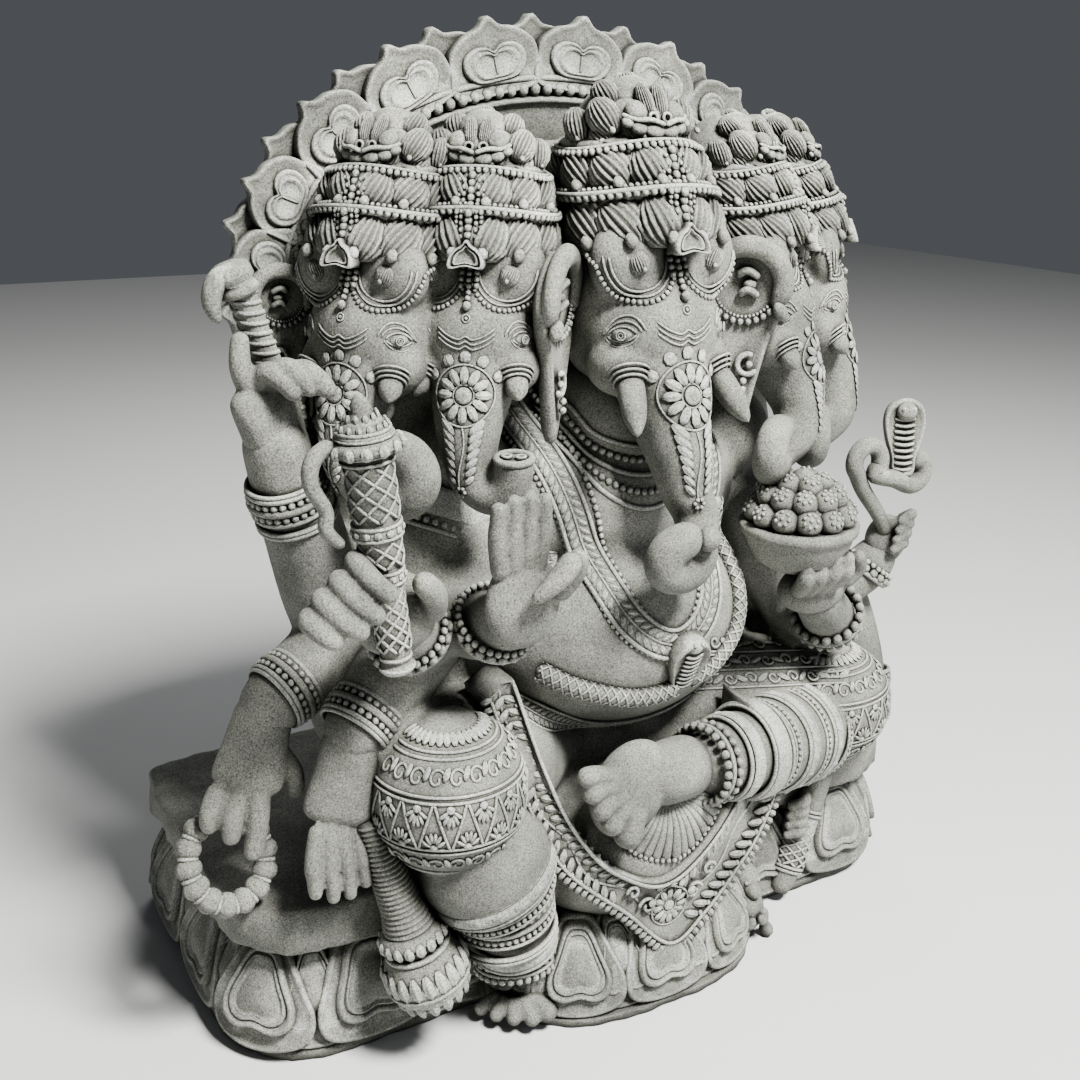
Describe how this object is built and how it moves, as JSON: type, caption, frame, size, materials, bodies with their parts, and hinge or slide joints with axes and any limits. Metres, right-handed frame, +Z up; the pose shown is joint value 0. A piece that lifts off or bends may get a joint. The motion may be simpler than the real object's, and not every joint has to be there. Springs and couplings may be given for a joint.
{
  "type": "garden statue",
  "caption": "Carved grey granite statue of a seated many-headed Ganesha with a petalled halo, on a lotus base.",
  "frame": {"origin": "middle of the underside of the bounding box", "axes": "+Z up, the statue faces -Y, +X to the right of someone facing it"},
  "size_m": [1.1392, 0.625, 1.1995],
  "materials": {
    "granite": "weathered, hand-carved grey granite"
  },
  "bodies": {
    "root": {"ganesha_statue": "granite"}
  },
  "joints": []
}
